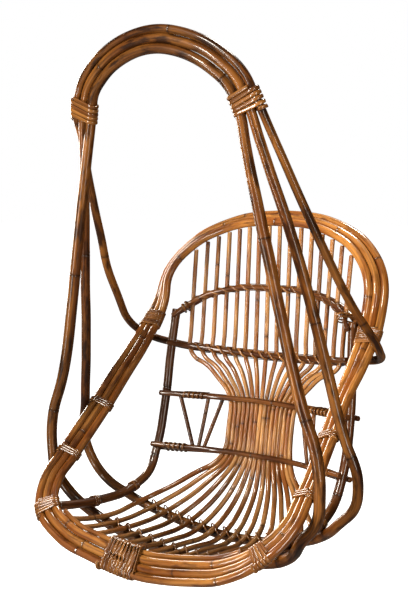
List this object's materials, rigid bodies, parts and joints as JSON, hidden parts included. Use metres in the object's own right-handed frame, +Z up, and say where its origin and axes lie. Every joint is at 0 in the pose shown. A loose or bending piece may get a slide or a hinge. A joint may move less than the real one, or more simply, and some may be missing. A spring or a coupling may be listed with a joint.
{
  "type": "cane swing chair",
  "caption": "Hanging swing chair of bent varnished cane: an arched hanger on splayed legs carries a hooped bucket seat with fanned spindles, lashed with cane.",
  "frame": {"origin": "hang point: the underside of the front hanger cane at the top of its arch", "axes": "+Z up along the line of the hook, -Y the way the sitter faces, +X to the sitter's left"},
  "size_m": [0.8522, 0.6001, 1.25],
  "materials": {
    "hanger_cane": "glossy varnish over smoked cane",
    "hoop_cane": "glossy varnish over honey cane",
    "rail_cane": "glossy varnish over brown cane",
    "spindle_cane": "satin varnish over reddish cane",
    "binding": "glossy peeled cane skin",
    "lacing": "split cane strand"
  },
  "bodies": {
    "root": {"arch_end_binding_left": "binding", "arch_end_binding_right": "binding", "arch_lacing": "lacing", "arch_rail_front": "rail_cane", "arch_rail_rear": "rail_cane", "back_corner_binding_left": "binding", "back_corner_binding_right": "binding", "front_corner_lashing_left": "binding", "front_corner_lashing_right": "binding", "front_edge_cane": "hoop_cane", "front_leg_lashing_left": "binding", "front_leg_lashing_right": "binding", "front_rim_binding": "binding", "hanger_binding_left": "binding", "hanger_binding_right": "binding", "hanger_cane_front": "hanger_cane", "hanger_cane_middle": "hanger_cane", "hanger_cane_rear": "hanger_cane", "hoop_cane_inner": "hoop_cane", "hoop_cane_middle": "hoop_cane", "hoop_cane_outer": "hoop_cane", "low_rail_front": "rail_cane", "low_rail_rear": "rail_cane", "middle_leg_lashing_left": "binding", "middle_leg_lashing_right": "binding", "middle_rail_front": "rail_cane", "middle_rail_rear": "rail_cane", "rail_lacings_left": "lacing", "rail_lacings_right": "lacing", "seat_lacing_front": "lacing", "seat_lacing_rear": "lacing", "side_frame_left": "rail_cane", "side_frame_right": "rail_cane", "side_rail_lashings_left": "binding", "side_rail_lashings_right": "binding", "spindle_01": "spindle_cane", "spindle_02": "spindle_cane", "spindle_03": "spindle_cane", "spindle_04": "spindle_cane", "spindle_05": "spindle_cane", "spindle_06": "spindle_cane", "spindle_07": "spindle_cane", "spindle_08": "spindle_cane", "spindle_09": "spindle_cane", "spindle_10": "spindle_cane", "spindle_11": "spindle_cane", "spindle_12": "spindle_cane", "spindle_13": "spindle_cane", "spindle_14": "spindle_cane", "spindle_15": "spindle_cane", "spindle_16": "spindle_cane", "strut_1_left": "rail_cane", "strut_1_right": "rail_cane", "strut_2_left": "rail_cane", "strut_2_right": "rail_cane", "strut_3_left": "rail_cane", "strut_3_right": "rail_cane", "top_rail": "rail_cane", "top_rail_lacing": "lacing"}
  },
  "joints": []
}
